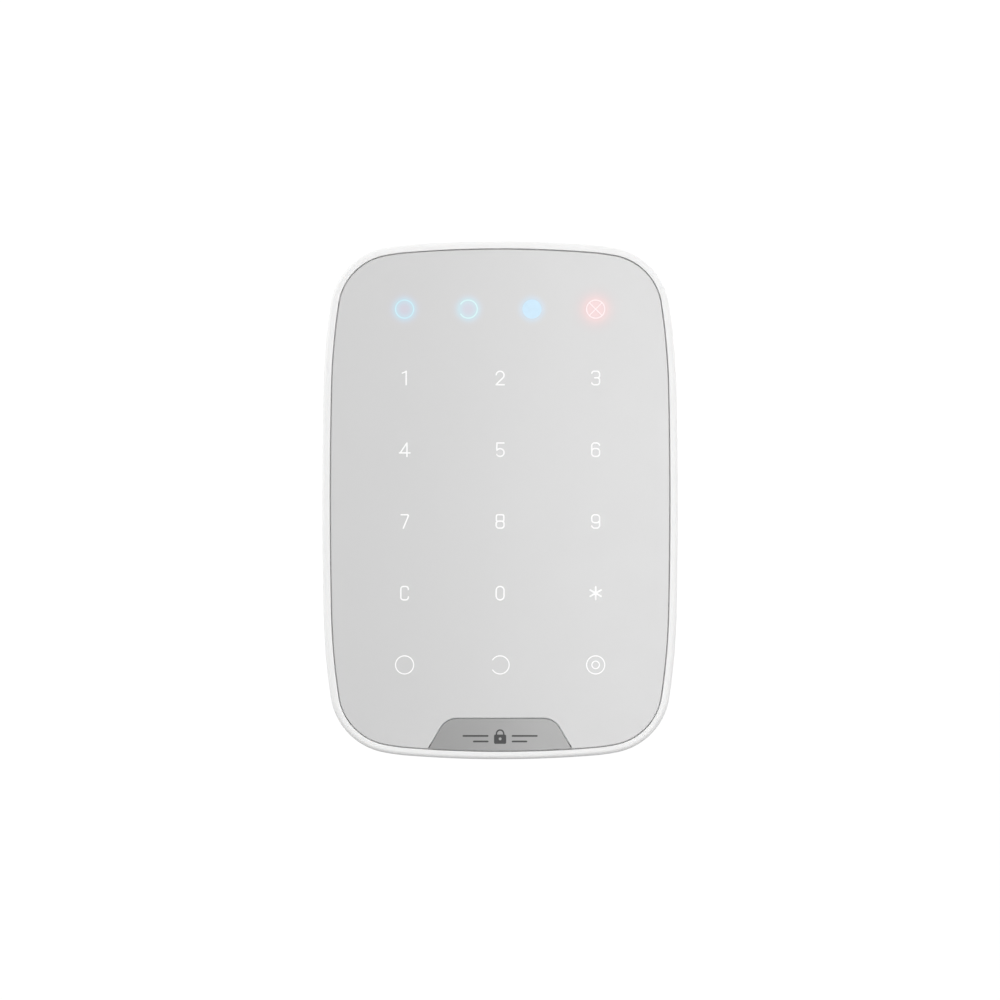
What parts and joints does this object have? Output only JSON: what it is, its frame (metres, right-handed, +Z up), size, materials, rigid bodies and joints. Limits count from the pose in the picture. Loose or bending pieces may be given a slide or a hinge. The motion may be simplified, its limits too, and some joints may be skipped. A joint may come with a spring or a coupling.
{
  "type": "alarm keypad panel",
  "caption": "Slim rounded wall keypad with a flush touch panel, backlit digits, status icons and a badge plate, sliding onto a screwed wall bracket.",
  "frame": {"origin": "middle of the four wall-screw holes, on the wall plane", "axes": "+Z up, +X to the right as the user sees it, front faces -Y, wall at Y = 0"},
  "size_m": [0.103, 0.014, 0.15],
  "materials": {
    "bracket_plastic": "fine matt texture",
    "case_plastic": "satin",
    "panel_plastic": "satin",
    "badge_plastic": "satin",
    "emblem_print": "printed",
    "legend_white": "backlit translucent white",
    "legend_cyan": "lit translucent cyan",
    "legend_aqua": "lit translucent aqua",
    "legend_blue": "lit translucent light blue",
    "legend_rose": "lit translucent rose",
    "adhesive": "foam",
    "film_clear": "clear",
    "film_amber": "polyimide film",
    "socket_plastic": "moulded",
    "board_green": "solder mask",
    "zinc_steel": "zinc plated",
    "dark_steel": "blackened",
    "chip_black": "moulded",
    "tinned": "tinned",
    "gilt": "gold flash",
    "capacitor_tan": "ceramic",
    "led_white": "lens",
    "led_clear": "lens",
    "black_plastic": "moulded",
    "holder_plastic": "moulded",
    "cell_sleeve": "printed sleeve",
    "nickel": "nickel plated",
    "button_black": "moulded",
    "plunger_white": "moulded"
  },
  "bodies": {
    "bracket": {"mounting_bracket": "bracket_plastic"},
    "keypad": {"housing": "case_plastic", "touch_panel": "panel_plastic", "badge_plate": "badge_plastic", "badge_emblem": "emblem_print", "digit_legends": "legend_white", "function_legends": "legend_white", "standby_icon": "legend_cyan", "partial_icon": "legend_aqua", "armed_icon": "legend_blue", "fault_icon": "legend_rose", "panel_adhesive": "adhesive", "light_guide_film": "film_clear", "touch_sensor_film": "film_amber", "sensor_flex": "film_amber", "flex_connector": "socket_plastic", "main_board": "board_green", "board_screws": "zinc_steel", "microcontroller": "chip_black", "touch_controller": "chip_black", "radio_shield": "tinned", "antenna": "gilt", "crystal": "tinned", "capacitors": "capacitor_tan", "backlight_leds": "led_white", "status_leds": "led_clear", "buzzer": "black_plastic", "battery_holder": "holder_plastic", "batteries": "cell_sleeve", "battery_contacts": "nickel", "battery_springs": "nickel", "back_cover": "case_plastic", "case_screws": "dark_steel", "power_switch": "black_plastic", "tamper_switch": "black_plastic", "tamper_spring": "nickel"},
    "power_button": {"power_button": "button_black"},
    "tamper_plunger": {"tamper_plunger": "plunger_white"}
  },
  "joints": [
    {"name": "keypad_slide", "type": "slide", "parent": "bracket", "child": "keypad", "axis": [0, 0, 1], "range_m": [0, 0.0046]},
    {"name": "power_press", "type": "slide", "parent": "keypad", "child": "power_button", "axis": [0, -1, 0], "range_m": [0, 0.0004]},
    {"name": "tamper_press", "type": "slide", "parent": "keypad", "child": "tamper_plunger", "axis": [0, -1, 0], "range_m": [0, 0.0008], "deforming": ["tamper_spring"]}
  ]
}
